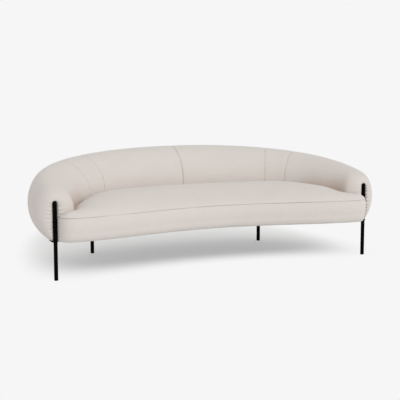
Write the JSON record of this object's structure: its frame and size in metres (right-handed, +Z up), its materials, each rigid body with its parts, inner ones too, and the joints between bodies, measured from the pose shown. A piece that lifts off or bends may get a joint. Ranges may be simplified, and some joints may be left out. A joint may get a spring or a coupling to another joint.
{
  "type": "curved sofa",
  "caption": "Curved upholstered sofa: a padded roll makes arms and back around a crescent seat, on slim black tube legs.",
  "frame": {"origin": "on the floor, under the centre of the overall box", "axes": "+X along the sofa, from the left leg to the right one as seen from the front; +Y to the back; +Z up"},
  "size_m": [2.343, 1.1838, 0.704],
  "materials": {
    "cover": "soft woven fabric, warm off-white",
    "foam": "polyurethane foam",
    "plywood": "raw birch plywood",
    "webbing": "elastic webbing",
    "lining": "black non-woven lining",
    "black_steel": "black powder coat",
    "zinc_steel": "zinc plated",
    "black_plastic": "moulded"
  },
  "bodies": {
    "root": {"seat_top_cover": "cover", "seat_front_border": "cover", "arm_cover_right": "cover", "arm_cover_left": "cover", "side_cover_right": "cover", "side_cover_left": "cover", "back_cover_right": "cover", "back_cover_left": "cover", "seat_foam": "foam", "front_foam": "foam", "arm_foam_right": "foam", "arm_foam_left": "foam", "back_foam_right": "foam", "back_foam_left": "foam", "arm_end_pad_right": "foam", "arm_end_pad_left": "foam", "base_plate": "plywood", "front_rail": "plywood", "rear_seat_rail": "plywood", "cross_rail_middle": "plywood", "cross_rail_right": "plywood", "cross_rail_left": "plywood", "end_rail_right": "plywood", "end_rail_left": "plywood", "roll_rib_1_right": "plywood", "roll_rib_1_left": "plywood", "roll_rib_2_right": "plywood", "roll_rib_2_left": "plywood", "roll_rib_3_right": "plywood", "roll_rib_3_left": "plywood", "roll_rib_4_right": "plywood", "roll_rib_4_left": "plywood", "roll_rib_5_right": "plywood", "roll_rib_5_left": "plywood", "arm_post_right": "plywood", "arm_post_left": "plywood", "top_rail": "plywood", "belt_right_1": "webbing", "belt_right_2": "webbing", "belt_right_3": "webbing", "belt_right_4": "webbing", "belt_left_1": "webbing", "belt_left_2": "webbing", "belt_left_3": "webbing", "belt_left_4": "webbing", "dust_cover": "lining", "front_leg_right": "black_steel", "front_leg_left": "black_steel", "rear_leg_right": "black_steel", "rear_leg_left": "black_steel", "leg_bolt_right": "zinc_steel", "leg_bolt_left": "zinc_steel", "front_glide_right": "black_plastic", "front_glide_left": "black_plastic", "rear_glide_right": "black_plastic", "rear_glide_left": "black_plastic"}
  },
  "joints": []
}
